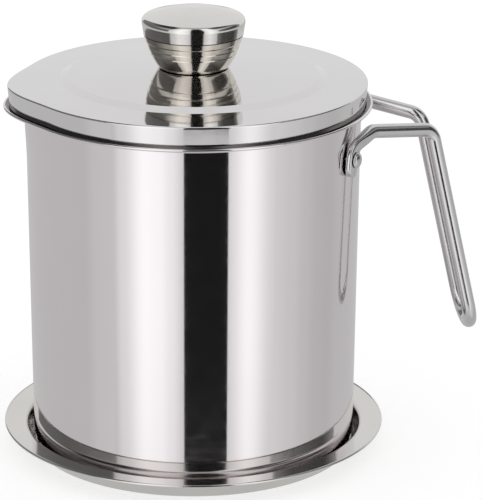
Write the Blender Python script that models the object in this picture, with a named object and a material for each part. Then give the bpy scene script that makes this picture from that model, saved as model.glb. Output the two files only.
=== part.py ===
"""Oil strainer pot: a steel pot with a pouring spout and a wire handle, standing in a saucer
tray, with a lift-out strainer and a lid with a hollow knob.

Metres, +Z up. The origin is the middle of the tray's underside, the handle points to +X
and the spout to -X. Run it with blender --background --python part.py or from the text editor.
"""

import math

import bmesh
import bpy
from mathutils import Vector

# Clearances
gap = 0.0003
weld = 0.000001
mirror_merge = 0.00001
crease_angle = math.radians(35)

# Pot
pot_radius = 0.066
pot_draft = 0.0016
pot_height = 0.1412
pot_sheet = 0.0006
pot_corner = 0.006
rim_overhang = 0.0046
rim_flare_height = 0.0013
rim_bend = 0.001
rim_bead = 0.0006
spout_reach = 0.005
spout_half_angle = math.radians(28.5)
spout_root_width = 0.0022
spout_wall_depth = 0.022
spout_wall_share = 0.13
spout_rim_share = 0.9
spout_root_ring_shares = (0.6, 1)
spout_wall_ring_shares = (0, 0.4, 0.75)

# Tray
tray_sheet = 0.0007
tray_play = 0.0012
tray_depth = 0.0086
tray_wall_slope = 0.0032
tray_corner = 0.003
tray_shoulder = 0.0014
tray_flange = 0.0078
tray_flange_rise = 0.0003
tray_bead = 0.0006

# Strainer
strainer_sheet = 0.0005
strainer_depth = 0.0456
strainer_wall_play = 0.0036
strainer_taper = 0.0045
strainer_corner = 0.003
strainer_neck = 0.0015
strainer_lip_rise = 0.0013
strainer_lip_bend = 0.0004
strainer_ledge = 0.0115
mesh_overlap = 0.0032
mesh_pitch = 0.0098
mesh_wire = 0.0013
mesh_thickness = 0.0006
clamp_width = 0.0052
clamp_thickness = 0.001

# Lid
lid_sheet = 0.0006
lid_play = 0.0019
lid_skirt = 0.0073
lid_skirt_taper = 0.0007
lid_corner = 0.0013
lid_border = 0.0166
lid_border_rise = 0.0009
lid_step_width = 0.0021
lid_step_rise = 0.0016
lid_step_bend = 0.0015
lid_crown_rise = 0.0026
lid_pad_radius = 0.0145

# Knob
knob_sheet = 0.0007
knob_neck_radius = 0.0136
knob_foot_bend = 0.0006
knob_shoulder_radius = 0.0186
knob_radius = 0.0206
knob_bowl_height = 0.0105
knob_bowl_bulge = 0.0005
knob_band_height = 0.0026
knob_band_step = 0.0004
knob_cap_wall = 0.0065
knob_cap_draft = 0.001
knob_cap_corner = 0.0024
knob_crown_rise = 0.0036
crown_width_share = 0.52
crown_height_share = 0.74
boss_radius = 0.0055
boss_height = 0.009

# Lid screw
screw_radius = 0.002
screw_reach = 0.0105
screw_head_radius = 0.0042
screw_head_height = 0.0024
screw_head_bend = 0.0008
screw_slot_width = 0.0009
screw_slot_length = 0.0046
screw_slot_depth = 0.0013
washer_radius = 0.0075
washer_thickness = 0.0008

# Handle
wire_radius = 0.0028
tab_width = 0.0086
tab_thickness = 0.003
tab_foot_angle = math.radians(33.5)
tab_foot_drop = 0.0229
tab_top_angle = math.radians(32)
tab_top_drop = 0.0117
tab_bend = 0.0065
tab_foot_shares = (0.12, 0.4, 1)
tab_squareness = 3.4
round_squareness = 2
handle_shoulder_angle = math.radians(21.5)
handle_shoulder_standoff = 0.0055
handle_shoulder_drop = 0.008
handle_shoulder_bend = 0.007
handle_reach = 0.0276
handle_run_drop = 0.0048
handle_half_gap = 0.0109
handle_corner_bend = 0.0062
handle_leg_drop = 0.0841
handle_leg_splay = 0.0188

# Handle rivets
rivet_radius = 0.0016
rivet_head_radius = 0.0032
rivet_head_height = 0.0018
rivet_tail_radius = 0.0026
rivet_tail_height = 0.0011
rivet_drop_share = 0.6
dome_width_share = 0.66
dome_height_share = 0.7
rivet_washer_radius = 0.005
rivet_washer_thickness = 0.0008

# Facets
round_segments = 48
knob_segments = 28
small_segments = 12
wire_sides = 10
corner_steps = 2
bead_steps = 4
bend_steps = 4


# Outlines and meshes

def at(radius, height):
    """A point of a turned outline, at +X."""
    return Vector((radius, 0, height))


def without_repeats(path):
    """The path without the points that lie on the one before them."""
    kept = path[:1]
    for point in path[1:]:
        if (point - kept[-1]).length > weld:
            kept.append(point)
    return kept


def rounded(corners, steps=corner_steps):
    """A path through corners, each a (point, bend radius) pair, with its bends as arcs."""
    path = [corners[0][0]]
    for (before, _), (corner, radius), (after, _) in zip(corners, corners[1:], corners[2:]):
        back = before - corner
        onward = after - corner
        half_angle = back.angle(onward) / 2
        back_room = back.length if before == corners[0][0] else back.length / 2
        onward_room = onward.length if after == corners[-1][0] else onward.length / 2
        setback = min(radius / math.tan(half_angle), back_room, onward_room)
        if setback < weld:
            path.append(corner)
            continue
        bend = setback * math.tan(half_angle)
        centre = corner + (back.normalized() + onward.normalized()).normalized() * bend / math.sin(half_angle)
        start = (corner + back.normalized() * setback - centre).normalized()
        end = (corner + onward.normalized() * setback - centre).normalized()
        for step in range(steps + 1):
            path.append(centre + start.slerp(end, step / steps) * bend)
    path.append(corners[-1][0])
    return without_repeats(path)


def left_of(direction):
    """The unit normal on the left of a direction in the XZ plane."""
    return Vector((-direction.z, 0, direction.x)).normalized()


def beside(path, distance):
    """The path moved to its left by a distance, with mitred corners."""
    moved = []
    for index, point in enumerate(path):
        ahead = path[min(index + 1, len(path) - 1)] - point
        behind = point - path[max(index - 1, 0)]
        first = left_of(behind if behind.length > 0 else ahead)
        second = left_of(ahead if ahead.length > 0 else behind)
        if point.x < weld:
            moved.append(point + Vector((0, 0, distance / first.z)))
        else:
            moved.append(point + (first + second) * distance / (1 + first.dot(second)))
    return moved


def sheet_outline(path, sheet, bead=0):
    """The section of a sheet that lies on the left of a path and may end in a beaded edge."""
    face = beside(path, sheet)
    if bead == 0:
        return path + face[::-1]
    centre = (path[-1] + face[-1]) / 2
    across = (face[-1] - path[-1]).normalized()
    onward = (path[-1] - path[-2]).normalized()
    edge = []
    for step in range(bead_steps + 1):
        turn = math.pi * step / bead_steps
        edge.append(centre + (onward * math.sin(turn) - across * math.cos(turn)) * bead)
    return path + edge + face[::-1]


def turned(outline, segments=round_segments):
    """The closed mesh that an outline at +X sweeps round the Z axis."""
    bm = bmesh.new()
    verts = [bm.verts.new(point) for point in outline]
    edges = []
    for vert, following in zip(verts, verts[1:] + verts[:1]):
        if max(vert.co.x, following.co.x) > weld:
            edges.append(bm.edges.new((vert, following)))
    bmesh.ops.spin(bm, geom=verts + edges, cent=(0, 0, 0), axis=(0, 0, 1), angle=math.tau, steps=segments)
    bmesh.ops.remove_doubles(bm, verts=bm.verts, dist=weld)
    bmesh.ops.recalc_face_normals(bm, faces=bm.faces)
    return bm


def press_spout(bm, share_at):
    """Pushes a turned mesh outwards at -X, by the share of the reach that each point takes."""
    for vert in bm.verts:
        radius = math.hypot(vert.co.x, vert.co.y)
        angle = abs(math.atan2(vert.co.y, -vert.co.x))
        if radius < weld or angle >= spout_half_angle:
            continue
        swell = math.cos(angle / spout_half_angle * math.pi / 2) ** 2
        stretch = 1 + spout_reach * swell * share_at(radius, vert.co.z) / radius
        vert.co.x *= stretch
        vert.co.y *= stretch


def smooth_share(value):
    """A share that runs from 0 to 1 with level ends."""
    value = min(max(value, 0), 1)
    return value * value * (3 - 2 * value)


def prism(outline, depth):
    """A closed mesh with a flat outline, drawn in XY, that rises by a depth."""
    bm = bmesh.new()
    face = bm.faces.new([bm.verts.new(point) for point in outline])
    swept = bmesh.ops.extrude_face_region(bm, geom=[face])
    raised = [item for item in swept["geom"] if isinstance(item, bmesh.types.BMVert)]
    bmesh.ops.translate(bm, verts=raised, vec=(0, 0, depth))
    bmesh.ops.recalc_face_normals(bm, faces=bm.faces)
    return bm


# Scene helpers

def clear_scene():
    for item in list(bpy.data.objects):
        bpy.data.objects.remove(item, do_unlink=True)


def steel(name, colour, roughness):
    material = bpy.data.materials.new(name)
    material.use_nodes = True
    shader = material.node_tree.nodes["Principled BSDF"]
    shader.inputs["Base Color"].default_value = (*colour, 1)
    shader.inputs["Metallic"].default_value = 1
    shader.inputs["Roughness"].default_value = roughness
    return material


def group(name, height, parent=None):
    """An empty on the pot's axis that carries the pieces which lift off together."""
    empty = bpy.data.objects.new(name, None)
    empty.location.z = height
    empty.parent = parent
    bpy.context.collection.objects.link(empty)
    return empty


def piece(name, bm, parent, material):
    """Links a finished mesh as a named piece, smooth but for its sharp edges."""
    mesh = bpy.data.meshes.new(name)
    bm.to_mesh(mesh)
    bm.free()
    mesh.shade_smooth()
    mesh.set_sharp_from_angle(angle=crease_angle)
    item = bpy.data.objects.new(name, mesh)
    item.parent = parent
    item.data.materials.append(material)
    bpy.context.collection.objects.link(item)
    return item


def cutter(name, bm, parent):
    """A guide shape that only cuts others."""
    mesh = bpy.data.meshes.new(name)
    bm.to_mesh(mesh)
    bm.free()
    item = bpy.data.objects.new(name, mesh)
    item.parent = parent
    item.hide_render = True
    item.display_type = "WIRE"
    bpy.context.collection.objects.link(item)
    return item


def cut(item, tool, operation="DIFFERENCE"):
    boolean = item.modifiers.new(tool.name, "BOOLEAN")
    boolean.object = tool
    boolean.operation = operation
    boolean.solver = "EXACT"


# Tray

def tray_floor_height():
    return tray_sheet


def make_tray():
    recess = pot_radius + tray_play + tray_sheet
    foot = recess - tray_wall_slope
    under_flange = tray_depth
    path = rounded([
        (at(0, 0), 0),
        (at(foot, 0), tray_corner),
        (at(recess, under_flange), tray_shoulder),
        (at(recess + tray_flange, under_flange + tray_flange_rise), 0),
    ])
    outline = sheet_outline(path, tray_sheet, tray_bead)
    return piece("tray_dish", turned(outline), None, steel("tray steel", (0.72, 0.71, 0.70), 0.14))


# Pot

def wall_radius(height):
    """The pot's outer radius at a height above its underside, below the rim."""
    return pot_radius - pot_draft * (1 - height / pot_height)


def rim_root_height():
    return pot_height - rim_bead - rim_flare_height


def rim_face_height(radius, clearance):
    """How high the flared rim's inner face is at a radius, raised by a clearance."""
    slope = rim_flare_height / rim_overhang
    raise_by = (pot_sheet + clearance) * math.hypot(1, slope)
    return rim_root_height() + (radius - wall_radius(rim_root_height())) * slope + raise_by


def rim_inner_radius():
    middle = left_of(Vector((rim_overhang, 0, rim_flare_height))) * pot_sheet / 2
    return wall_radius(rim_root_height()) + rim_overhang + middle.x - rim_bead


def spout_share(radius, height):
    """The wall swells a little below the rim, and the flange over it is pulled out the rest."""
    root = rim_root_height()
    wall = smooth_share((height - root + spout_wall_depth) / spout_wall_depth)
    flange = smooth_share((radius - wall_radius(root)) / spout_root_width)
    return wall * spout_wall_share + flange * (spout_rim_share - spout_wall_share)


def make_pot(parent, rivet_cutters):
    root = rim_root_height()
    root_radius = wall_radius(root)
    drops = [spout_wall_depth * (1 - share) for share in spout_wall_ring_shares]
    walls = [(at(wall_radius(root - drop), root - drop), 0) for drop in drops]
    reaches = [spout_root_width * share for share in spout_root_ring_shares]
    slope = rim_flare_height / rim_overhang
    flange = [(at(root_radius + reach, root + reach * slope), 0) for reach in reaches]
    path = rounded([
        (at(0, 0), 0),
        (at(wall_radius(0), 0), pot_corner),
        *walls,
        (at(root_radius, root), rim_bend),
        *flange,
        (at(root_radius + rim_overhang, root + rim_flare_height), 0),
    ])
    shell = turned(sheet_outline(path, pot_sheet, rim_bead))
    press_spout(shell, spout_share)
    pot = piece("pot_body", shell, parent, steel("pot steel", (0.74, 0.73, 0.73), 0.07))
    for tool in rivet_cutters:
        cut(pot, tool)
    return pot


# Handle

def around(radius, angle, height):
    """A point at a radius, an angle from +X and a height."""
    return Vector((radius * math.cos(angle), radius * math.sin(angle), height))


def tab_point(angle, drop):
    """A point of the flattened tab's middle line, against the pot's wall."""
    height = pot_height - drop
    return around(wall_radius(height) + gap + tab_thickness / 2, angle, height)


def rivet_place():
    """The rivet's angle and height, on the tab's middle line."""
    angle = tab_foot_angle + (tab_top_angle - tab_foot_angle) * rivet_drop_share
    drop = tab_foot_drop + (tab_top_drop - tab_foot_drop) * rivet_drop_share
    return angle, pot_height - drop


def handle_path():
    """The middle line of half the handle: up the tab, out, and down the leg to the loop."""
    foot = tab_point(tab_foot_angle, tab_foot_drop)
    top = tab_point(tab_top_angle, tab_top_drop)
    shoulder_height = pot_height - handle_shoulder_drop
    shoulder = around(pot_radius + handle_shoulder_standoff, handle_shoulder_angle, shoulder_height)
    corner_height = shoulder_height - handle_run_drop
    corner = Vector((pot_radius + handle_reach, handle_half_gap, corner_height))
    low = Vector((corner.x + handle_leg_splay, handle_half_gap, corner_height - handle_leg_drop))
    loop_middle = Vector((low.x, 0, low.z))
    return rounded([
        (foot, 0),
        (top, tab_bend),
        (shoulder, handle_shoulder_bend),
        (corner, handle_corner_bend),
        (low, handle_half_gap),
        (loop_middle, 0),
    ], bend_steps)


def wire_ring(centre, onward, flat_normal, half_width, half_thickness, squareness):
    """The points of a wire's section: round, or pressed flat across its normal."""
    wide = onward.cross(flat_normal).normalized()
    thin = wide.cross(onward).normalized()
    ring = []
    for side in range(wire_sides):
        turn = math.tau * (side + 0.5) / wire_sides
        across = math.copysign(abs(math.cos(turn)) ** (2 / squareness), math.cos(turn))
        through = math.copysign(abs(math.sin(turn)) ** (2 / squareness), math.sin(turn))
        ring.append(centre + wide * across * half_width + thin * through * half_thickness)
    return ring


def handle_rings():
    """Rings from the tab's rounded foot to the middle of the loop."""
    path = handle_path()
    mid_angle, _ = rivet_place()
    normal = Vector((math.cos(mid_angle), math.sin(mid_angle), 0))
    rings = []
    last_flat = 2
    first_round = 2 * (bend_steps + 1)
    up = (path[1] - path[0]).normalized()
    for share in tab_foot_shares:
        width = tab_width / 2 * math.sqrt(1 - (1 - share) ** 2)
        centre = path[0] + up * share * tab_width / 2
        rings.append(wire_ring(centre, up, normal, width, tab_thickness / 2, tab_squareness))
    for index in range(1, len(path)):
        before = path[index] - path[index - 1]
        after = path[min(index + 1, len(path) - 1)] - path[index]
        onward = (before.normalized() + after.normalized()).normalized()
        if index == len(path) - 1:
            onward = Vector((0, -1, 0))
        narrowing = smooth_share((index - 1) / bend_steps)
        roundness = smooth_share((index - last_flat) / (first_round - last_flat))
        width = tab_width / 2 + (wire_radius - tab_width / 2) * narrowing
        thickness = tab_thickness / 2 + (wire_radius - tab_thickness / 2) * roundness
        squareness = tab_squareness + (round_squareness - tab_squareness) * roundness
        normal = normal - onward * normal.dot(onward)
        normal.normalize()
        rings.append(wire_ring(path[index], onward, normal, width, thickness, squareness))
    return rings


def skin(rings, close_start, close_end):
    """A tube mesh through rings of equal length, with flat ends where asked."""
    bm = bmesh.new()
    rows = [[bm.verts.new(point) for point in ring] for ring in rings]
    for row, following in zip(rows, rows[1:]):
        for side in range(len(row)):
            after = (side + 1) % len(row)
            bm.faces.new((row[side], row[after], following[after], following[side]))
    if close_start:
        bm.faces.new(rows[0])
    if close_end:
        bm.faces.new(rows[-1])
    bmesh.ops.recalc_face_normals(bm, faces=bm.faces)
    return bm


def make_handle(parent, rivet_cutter):
    """Half the wire is skinned and the other half mirrored, joined in the loop's middle."""
    wire = skin(handle_rings(), close_start=True, close_end=False)
    handle = piece("handle_wire", wire, parent, steel("handle steel", (0.66, 0.65, 0.66), 0.16))
    cut(handle, rivet_cutter)
    mirror = handle.modifiers.new("other half", "MIRROR")
    mirror.use_axis = (False, True, False)
    mirror.use_mirror_merge = True
    mirror.merge_threshold = mirror_merge
    return handle


# Rivets

def seat_on_wall(item, angle, height):
    """Turns a piece whose axis is +Z to point outwards from the wall, and puts it there."""
    item.location = around(wall_radius(height), angle, height)
    item.rotation_euler = (0, math.pi / 2, angle)


def wall_sagitta(radius):
    """How far the round wall falls away from a flat disc of a radius."""
    return pot_radius - math.sqrt(pot_radius ** 2 - radius ** 2)


def rivet_outline():
    head_base = gap + tab_thickness + gap
    washer_face = pot_sheet + gap + wall_sagitta(rivet_washer_radius)
    tail_top = -(washer_face + rivet_washer_thickness + gap)
    return [
        at(0, head_base + rivet_head_height),
        at(rivet_head_radius * dome_width_share, head_base + rivet_head_height * dome_height_share),
        at(rivet_head_radius, head_base),
        at(rivet_radius, head_base),
        at(rivet_radius, tail_top),
        at(rivet_tail_radius, tail_top),
        at(rivet_tail_radius, tail_top - rivet_tail_height * dome_height_share),
        at(rivet_tail_radius * dome_width_share, tail_top - rivet_tail_height),
        at(0, tail_top - rivet_tail_height),
    ]


def rivet_washer_outline():
    face = -(pot_sheet + gap + wall_sagitta(rivet_washer_radius))
    hole = rivet_radius + gap
    return [
        at(hole, face),
        at(rivet_washer_radius, face),
        at(rivet_washer_radius, face - rivet_washer_thickness),
        at(hole, face - rivet_washer_thickness),
    ]


def make_rivet_cutter(side_name, side, parent):
    reach = tab_thickness + rivet_washer_radius
    hole = [at(0, reach), at(rivet_radius + gap, reach), at(rivet_radius + gap, -reach), at(0, -reach)]
    tool = cutter("rivet_hole_" + side_name, turned(hole, small_segments), parent)
    angle, height = rivet_place()
    seat_on_wall(tool, side * angle, height)
    return tool


def make_rivet(side_name, side, parent):
    angle, height = rivet_place()
    finish = steel("rivet steel " + side_name, (0.62, 0.61, 0.61), 0.2)
    rivet = piece("handle_rivet_" + side_name, turned(rivet_outline(), small_segments), parent, finish)
    seat_on_wall(rivet, side * angle, height)
    finish = steel("rivet washer steel " + side_name, (0.6, 0.6, 0.6), 0.25)
    ring = turned(rivet_washer_outline(), small_segments)
    washer = piece("rivet_washer_" + side_name, ring, parent, finish)
    seat_on_wall(washer, side * angle, height)


# Strainer

def strainer_flange_radius():
    """The turned-up edge of the flange stands right under the lid's skirt."""
    return lid_radius() - lid_skirt_taper - lid_sheet / 2 + strainer_sheet / 2


def strainer_seat_height():
    """The flange's underside above the pot's underside: its edge lies on the flared rim."""
    return rim_face_height(strainer_flange_radius(), gap)


def strainer_foot_radius():
    return pot_radius - pot_sheet - strainer_wall_play - strainer_taper


def strainer_opening_radius():
    return strainer_foot_radius() - strainer_ledge


def make_strainer_cup(parent):
    """Heights here are below the flange's underside."""
    foot = strainer_foot_radius()
    path = rounded([
        (at(strainer_opening_radius(), -strainer_depth), 0),
        (at(foot, -strainer_depth), strainer_corner),
        (at(foot + strainer_taper, 0), strainer_neck),
        (at(strainer_flange_radius(), 0), strainer_lip_bend),
        (at(strainer_flange_radius(), strainer_lip_rise), 0),
    ])
    outline = sheet_outline(path, strainer_sheet)
    return piece("strainer_cup", turned(outline), parent, steel("strainer steel", (0.7, 0.7, 0.69), 0.22))


def mesh_seat():
    """The mesh's underside, on the ledge round the strainer's opening."""
    return -strainer_depth + strainer_sheet + gap


def mesh_radius():
    return strainer_opening_radius() + mesh_overlap


def make_mesh(parent):
    """Square wire cloth, drawn coarse, trimmed round where the clamp ring holds it."""
    radius = mesh_radius()
    count = math.ceil(radius / mesh_pitch)
    breaks = []
    for bar in range(-count, count + 1):
        breaks.append(bar * mesh_pitch - mesh_wire / 2)
        breaks.append(bar * mesh_pitch + mesh_wire / 2)
    bm = bmesh.new()
    grid = [[bm.verts.new((x, y, mesh_seat())) for y in breaks] for x in breaks]
    for column in range(len(breaks) - 1):
        for row in range(len(breaks) - 1):
            is_gap = column % 2 == 1 and row % 2 == 1
            if not is_gap:
                corners = (grid[column][row], grid[column + 1][row],
                           grid[column + 1][row + 1], grid[column][row + 1])
                bm.faces.new(corners)
    swept = bmesh.ops.extrude_face_region(bm, geom=list(bm.faces))
    raised = [item for item in swept["geom"] if isinstance(item, bmesh.types.BMVert)]
    bmesh.ops.translate(bm, verts=raised, vec=(0, 0, mesh_thickness))
    bmesh.ops.recalc_face_normals(bm, faces=bm.faces)
    cloth = piece("strainer_mesh", bm, parent, steel("mesh steel", (0.6, 0.6, 0.6), 0.3))
    low = mesh_seat() - mesh_thickness
    high = mesh_seat() + 2 * mesh_thickness
    disc = turned([at(0, low), at(radius, low), at(radius, high), at(0, high)], round_segments)
    cut(cloth, cutter("mesh_trim", disc, parent), "INTERSECT")
    return cloth


def make_clamp_ring(parent):
    """A flat ring that holds the mesh down on the ledge."""
    inner = strainer_opening_radius()
    outer = inner + clamp_width
    low = mesh_seat() + mesh_thickness + gap
    high = low + clamp_thickness
    outline = [at(inner, low), at(outer, low), at(outer, high), at(inner, high)]
    finish = steel("clamp ring steel", (0.68, 0.68, 0.67), 0.25)
    return piece("strainer_clamp_ring", turned(outline), parent, finish)


# Lid

def lid_radius():
    return rim_inner_radius() - lid_play


def lid_seat_height():
    """The skirt's lower edge above the pot's underside: it stands on the strainer's edge."""
    return strainer_seat_height() + strainer_lip_rise + gap


def lid_pad_height():
    """The top of the pad under the knob, above the skirt's lower edge."""
    return lid_skirt + lid_border_rise + lid_step_rise + lid_crown_rise


def screw_hole_radius():
    return screw_radius + 2 * gap


def lid_spout_share(radius, _):
    border_inner = lid_radius() - lid_border
    skirt_inner = lid_radius() - lid_skirt_taper - lid_sheet
    return min(max((radius - border_inner) / (skirt_inner - border_inner), 0), 1)


def make_lid_shell(parent):
    radius = lid_radius()
    step_outer = radius - lid_border
    border_top = lid_skirt + lid_border_rise
    path = rounded([
        (at(screw_hole_radius(), lid_pad_height()), 0),
        (at(lid_pad_radius, lid_pad_height()), 0),
        (at(step_outer - lid_step_width, border_top + lid_step_rise), lid_step_bend),
        (at(step_outer, border_top), lid_step_bend),
        (at(radius, lid_skirt), lid_corner),
        (at(radius - lid_skirt_taper, 0), 0),
    ])
    shell = turned(sheet_outline(path, -lid_sheet))
    press_spout(shell, lid_spout_share)
    return piece("lid_shell", shell, parent, steel("lid steel", (0.76, 0.75, 0.75), 0.08))


# Knob

def knob_arc(start, end, bulge, steps):
    """Points between two points of an outline, swelling outwards by a bulge."""
    chord = end - start
    outwards = -left_of(chord)
    points = []
    for step in range(1, steps):
        share = step / steps
        points.append(start + chord * share + outwards * bulge * 4 * share * (1 - share))
    return points


def knob_height():
    """Where the knob's heights are counted from: a gap above the lid's pad."""
    return lid_pad_height() + gap


def make_knob_bowl(parent):
    base = knob_height()
    foot = at(knob_neck_radius, base)
    foot_top = at(knob_neck_radius + knob_foot_bend, base + knob_foot_bend)
    bowl_top = base + knob_bowl_height
    shoulder = at(knob_shoulder_radius, bowl_top)
    band = at(knob_shoulder_radius + knob_band_step, bowl_top + knob_band_step)
    band_top = at(knob_radius - knob_cap_draft, bowl_top + knob_band_height)
    path = [at(screw_hole_radius(), base), foot, foot_top]
    path += knob_arc(foot_top, shoulder, knob_bowl_bulge, bend_steps)
    path += [shoulder, band, band_top]
    bowl = turned(sheet_outline(path, knob_sheet), knob_segments)
    return piece("knob_bowl", bowl, parent, steel("knob bowl steel", (0.62, 0.6, 0.58), 0.2))


def make_knob_cap(parent):
    low = knob_height() + knob_bowl_height + knob_band_height + gap
    top = low + knob_cap_wall
    path = rounded([
        (at(knob_radius - knob_cap_draft, low), 0),
        (at(knob_radius, top), knob_cap_corner),
        (at(knob_radius * crown_width_share, top + knob_crown_rise * crown_height_share), 0),
        (at(0, top + knob_crown_rise), 0),
    ])
    cap = turned(sheet_outline(path, knob_sheet), knob_segments)
    return piece("knob_cap", cap, parent, steel("knob cap steel", (0.7, 0.69, 0.68), 0.16))


def make_knob_boss(parent):
    """The threaded boss inside the knob that the lid screw pulls down."""
    low = knob_height() + knob_sheet + gap
    hole = screw_radius + gap
    outline = [
        at(hole, low),
        at(boss_radius, low),
        at(boss_radius, low + boss_height),
        at(hole, low + boss_height),
    ]
    boss = turned(outline, small_segments)
    return piece("knob_boss", boss, parent, steel("boss steel", (0.55, 0.55, 0.55), 0.35))


def washer_top():
    return lid_pad_height() - lid_sheet - gap


def make_lid_washer(parent):
    hole = screw_hole_radius()
    low = washer_top() - washer_thickness
    outline = [
        at(hole, low),
        at(washer_radius, low),
        at(washer_radius, washer_top()),
        at(hole, washer_top()),
    ]
    washer = turned(outline, small_segments)
    return piece("lid_washer", washer, parent, steel("washer steel", (0.6, 0.6, 0.6), 0.25))


def cross_outline():
    """The plus shape of the screw's recess, in XY."""
    arm = screw_slot_length / 2
    side = screw_slot_width / 2
    quarter = [(arm, -side), (arm, side), (side, side)]
    points = []
    for turn in range(4):
        cosine = (1, 0, -1, 0)[turn]
        sine = (0, 1, 0, -1)[turn]
        for x, y in quarter:
            points.append((x * cosine - y * sine, x * sine + y * cosine, 0))
    return points


def make_lid_screw(parent):
    head_top = washer_top() - washer_thickness - gap
    head_low = head_top - screw_head_height
    path = rounded([
        (at(0, head_low), 0),
        (at(screw_head_radius, head_low), screw_head_bend),
        (at(screw_head_radius, head_top), 0),
        (at(screw_radius, head_top), 0),
        (at(screw_radius, head_top + screw_reach), 0),
        (at(0, head_top + screw_reach), 0),
    ])
    finish = steel("screw steel", (0.6, 0.6, 0.6), 0.22)
    screw = piece("lid_screw", turned(path, small_segments), parent, finish)
    recess = prism(cross_outline(), 2 * screw_slot_depth)
    tool = cutter("screw_recess", recess, parent)
    tool.location.z = head_low - screw_slot_depth
    cut(screw, tool)
    return screw


# Assembly

def build():
    clear_scene()
    make_tray()

    pot_group = group("pot_group", tray_floor_height() + gap)
    sides = {"near": -1, "far": 1}
    cutters = {name: make_rivet_cutter(name, side, pot_group) for name, side in sides.items()}
    make_pot(pot_group, cutters.values())
    make_handle(pot_group, cutters["far"])
    for name, side in sides.items():
        make_rivet(name, side, pot_group)

    strainer_group = group("strainer_group", strainer_seat_height(), pot_group)
    make_strainer_cup(strainer_group)
    make_mesh(strainer_group)
    make_clamp_ring(strainer_group)

    lid_group = group("lid_group", lid_seat_height() - strainer_seat_height(), strainer_group)
    make_lid_shell(lid_group)
    make_knob_bowl(lid_group)
    make_knob_cap(lid_group)
    make_knob_boss(lid_group)
    make_lid_washer(lid_group)
    make_lid_screw(lid_group)


build()
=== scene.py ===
# %% [markdown]
# # Oil strainer pot
#
# A pot for keeping frying oil. Hot oil goes in through a strainer that hangs in the pot's mouth,
# and comes out again over a pouring spout pressed into the rim. A lid with a hollow knob keeps dust
# out, and a saucer tray under it all catches drips. Everything is stainless steel.
#
# The solid model already says where each piece is and how it moves. This script loads it as a fixed
# frame and makes finer versions of the same pieces round it, with finishes, a camera and light.

# %% Load the solid model
import math

import bmesh
import bpy
from mathutils import Matrix, Vector


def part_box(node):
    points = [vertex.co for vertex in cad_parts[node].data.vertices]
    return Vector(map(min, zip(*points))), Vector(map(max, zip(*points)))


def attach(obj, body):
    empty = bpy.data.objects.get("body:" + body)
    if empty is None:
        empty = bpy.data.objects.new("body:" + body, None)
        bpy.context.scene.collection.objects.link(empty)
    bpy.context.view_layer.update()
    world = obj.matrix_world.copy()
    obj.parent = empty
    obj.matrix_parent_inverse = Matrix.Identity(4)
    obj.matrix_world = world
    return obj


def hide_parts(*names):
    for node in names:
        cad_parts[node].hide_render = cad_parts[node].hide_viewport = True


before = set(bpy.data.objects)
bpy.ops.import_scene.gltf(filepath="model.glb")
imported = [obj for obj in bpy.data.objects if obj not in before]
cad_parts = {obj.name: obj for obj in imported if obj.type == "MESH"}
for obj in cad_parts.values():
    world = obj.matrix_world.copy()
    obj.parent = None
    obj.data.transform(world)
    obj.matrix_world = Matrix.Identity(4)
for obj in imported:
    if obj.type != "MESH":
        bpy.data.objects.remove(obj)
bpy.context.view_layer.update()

mm = 0.001

# %% [markdown]
# ## Camera
#
# The picture looks down on the closed pot from the front, a little to the spout's side. A long lens
# from over a metre away keeps the pot's sides nearly parallel, so the camera gets a long lens and
# stands at the same place. Turning the camera a little to one side moves the pot off the middle of
# the frame, and no lens shift is needed.

# %% Set up the camera
frame_long_side = 500
focal_pixels = 3296
sensor_width = 36
camera_bearing = math.radians(7.9)
camera_tilt = math.radians(18.33)
camera_distance = 1248.5 * mm
camera_height = 493.4 * mm
aim_right_pixels = 47.5
aim_up_pixels = 0.3

to_camera = Vector((-math.sin(camera_bearing), -math.cos(camera_bearing), 0))
to_right = Vector((math.cos(camera_bearing), -math.sin(camera_bearing), 0))


def looking_along(forward, right):
    """The rotation of a camera that looks along forward, with right on its right-hand side."""
    forward = forward.normalized()
    right = (right - forward * right.dot(forward)).normalized()
    return Matrix((right, right.cross(forward), -forward)).transposed().to_4x4()


def make_camera():
    data = bpy.data.cameras.new("camera")
    data.sensor_width = sensor_width
    data.lens = focal_pixels / frame_long_side * sensor_width
    data.clip_end = 100
    camera = bpy.data.objects.new("camera", data)
    bpy.context.collection.objects.link(camera)
    level_view = -to_camera * math.cos(camera_tilt) - Vector((0, 0, math.sin(camera_tilt)))
    upwards = to_right.cross(level_view)
    aim = level_view + (to_right * aim_right_pixels + upwards * aim_up_pixels) / focal_pixels
    camera.matrix_world = looking_along(aim, to_right)
    camera.location = to_camera * camera_distance + Vector((0, 0, camera_height))
    bpy.context.scene.camera = camera
    return camera


camera = make_camera()
print("lens:", round(camera.data.lens, 1), "mm")

# %% [markdown]
# ## Floor and light
#
# Polished steel has hardly any colour of its own: what shows is the studio that it mirrors. So the
# studio is built as tall curved cards that stand in a ring round the pot. A bright soft box stands
# on either side of a black card near the camera. Beyond them hang dark curtains, each with a lighter
# fold above it, and a pale cloth hangs behind. A pale ceiling closes the ring, and the table that
# everything stands on is grey. The cards light only what mirrors them, so the floor stays even. They
# don't show in the picture and cast no shadow.

# %% Make the floor
def node_tree(material):
    """The material's empty node tree, ready to be filled."""
    material.use_nodes = True
    material.node_tree.nodes.clear()
    return material.node_tree


def link_object(name, bm):
    """A new object with the mesh's shape."""
    mesh = bpy.data.meshes.new(name)
    bm.to_mesh(mesh)
    bm.free()
    item = bpy.data.objects.new(name, mesh)
    bpy.context.collection.objects.link(item)
    return item


floor_radius = 8.0
floor_colour = (0.86, 0.86, 0.86, 1)
floor_roughness = 0.9
floor_glow = 0.56
disc_segments = 96


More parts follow.
